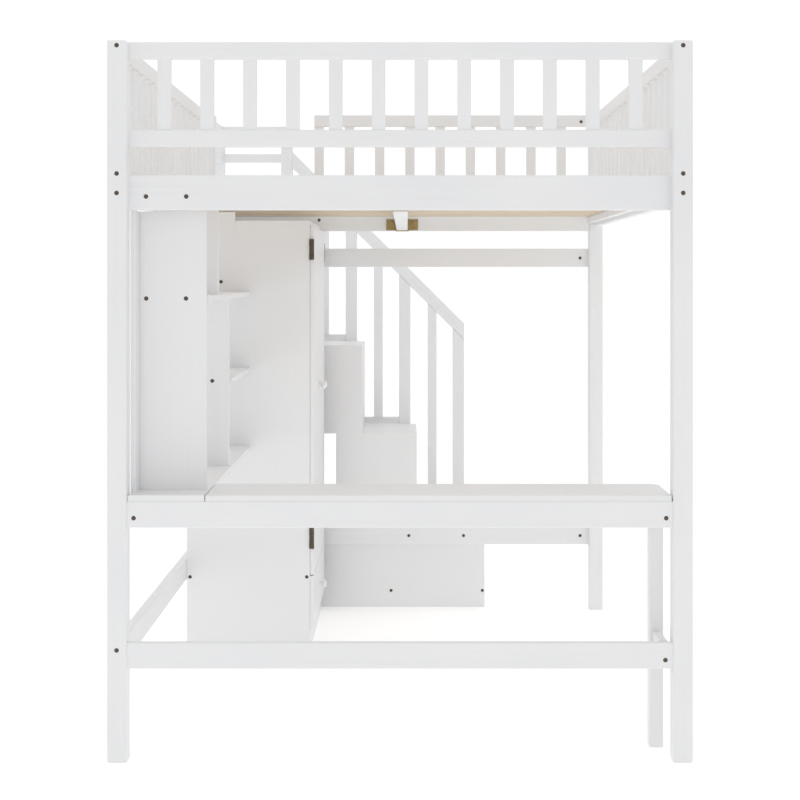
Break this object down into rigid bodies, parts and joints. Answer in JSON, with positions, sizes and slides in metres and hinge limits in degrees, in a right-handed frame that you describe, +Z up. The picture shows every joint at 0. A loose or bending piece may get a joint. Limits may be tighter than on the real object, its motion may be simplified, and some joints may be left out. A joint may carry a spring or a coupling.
{
  "type": "loft bed with desk",
  "caption": "White painted wooden loft bed with slatted guard rails, a desk and bookshelf below, a two-door wardrobe with a drawer, and box stairs with a handrail.",
  "frame": {"origin": "middle of the bounding box at floor level", "axes": "+Z up; +Y from the desk end to the stair end, along the bed; +X across the bed, from the wall side to the open side"},
  "size_m": [1.445, 2.46, 1.781],
  "materials": {
    "painted_wood": "white satin paint on solid wood",
    "painted_panel": "white satin paint on board",
    "pine": "bare planed pine",
    "zinc_plate": "yellow zinc plated",
    "black_bolt": "black oxide",
    "bronze_hinge": "dark bronze",
    "knob_enamel": "white gloss enamel",
    "rod_steel": "bright plated tube",
    "runner_wood": "bare hardwood, waxed"
  },
  "bodies": {
    "bed_frame": {"beam_brackets": "zinc_plate", "bed_slats": "pine", "bookshelf_bottom_board": "painted_panel", "bookshelf_dividers": "painted_panel", "bookshelf_filler_strip": "painted_panel", "bookshelf_shelves": "painted_panel", "bookshelf_side_panel": "painted_panel", "carcass_hinge_leaves": "bronze_hinge", "centre_beam": "painted_wood", "desk_apron": "painted_wood", "desk_leg": "painted_wood", "desk_stretchers": "painted_wood", "desk_top": "painted_panel", "drawer_runners": "runner_wood", "frame_bolts": "black_bolt", "front_end_rail": "painted_wood", "front_guard_rails": "painted_wood", "front_guard_slats": "painted_wood", "front_left_post": "painted_wood", "front_lower_rail": "painted_wood", "front_right_post": "painted_wood", "hanging_rod": "rod_steel", "left_guard_rails": "painted_wood", "left_guard_slats": "painted_wood", "left_lower_rail": "painted_wood", "left_side_rail": "painted_wood", "rear_end_rail": "painted_wood", "rear_guard_rails": "painted_wood", "rear_guard_slats": "painted_wood", "rear_left_post": "painted_wood", "rear_lower_rail": "painted_wood", "rear_right_post": "painted_wood", "rear_upper_rail": "painted_wood", "right_guard_rails": "painted_wood", "right_guard_slats": "painted_wood", "right_side_rail": "painted_wood", "slat_ledgers": "painted_wood", "stair_back_panels": "painted_panel", "stair_guard_posts": "painted_wood", "stair_guard_rails": "painted_wood", "stair_handrail": "painted_wood", "stair_shelves": "painted_panel", "stair_treads": "painted_panel", "stair_uprights": "painted_panel", "wardrobe_back_panel": "painted_panel", "wardrobe_far_panel": "painted_panel", "wardrobe_floor_panel": "painted_panel", "wardrobe_hat_shelf": "painted_panel", "wardrobe_near_panel": "painted_panel", "wardrobe_plinth": "painted_panel", "wardrobe_top_panel": "painted_panel"},
    "near_door": {"near_door": "painted_panel", "near_door_knob": "knob_enamel", "near_door_hinge_leaves": "bronze_hinge"},
    "far_door": {"far_door": "painted_panel", "far_door_knob": "knob_enamel", "far_door_hinge_leaves": "bronze_hinge"},
    "drawer": {"drawer_front": "painted_panel", "drawer_tray": "painted_panel", "drawer_knob": "knob_enamel"}
  },
  "joints": [
    {"name": "near_door_hinge", "type": "hinge", "parent": "bed_frame", "child": "near_door", "pos_m": [-0.284, 0.029, 0.8], "axis": [0, 0, -1], "range_deg": [0, 105]},
    {"name": "far_door_hinge", "type": "hinge", "parent": "bed_frame", "child": "far_door", "pos_m": [-0.284, 0.734, 0.8], "axis": [0, 0, 1], "range_deg": [0, 90]},
    {"name": "drawer_slide", "type": "slide", "parent": "bed_frame", "child": "drawer", "axis": [1, 0, 0], "range_m": [0, 0.28]}
  ]
}
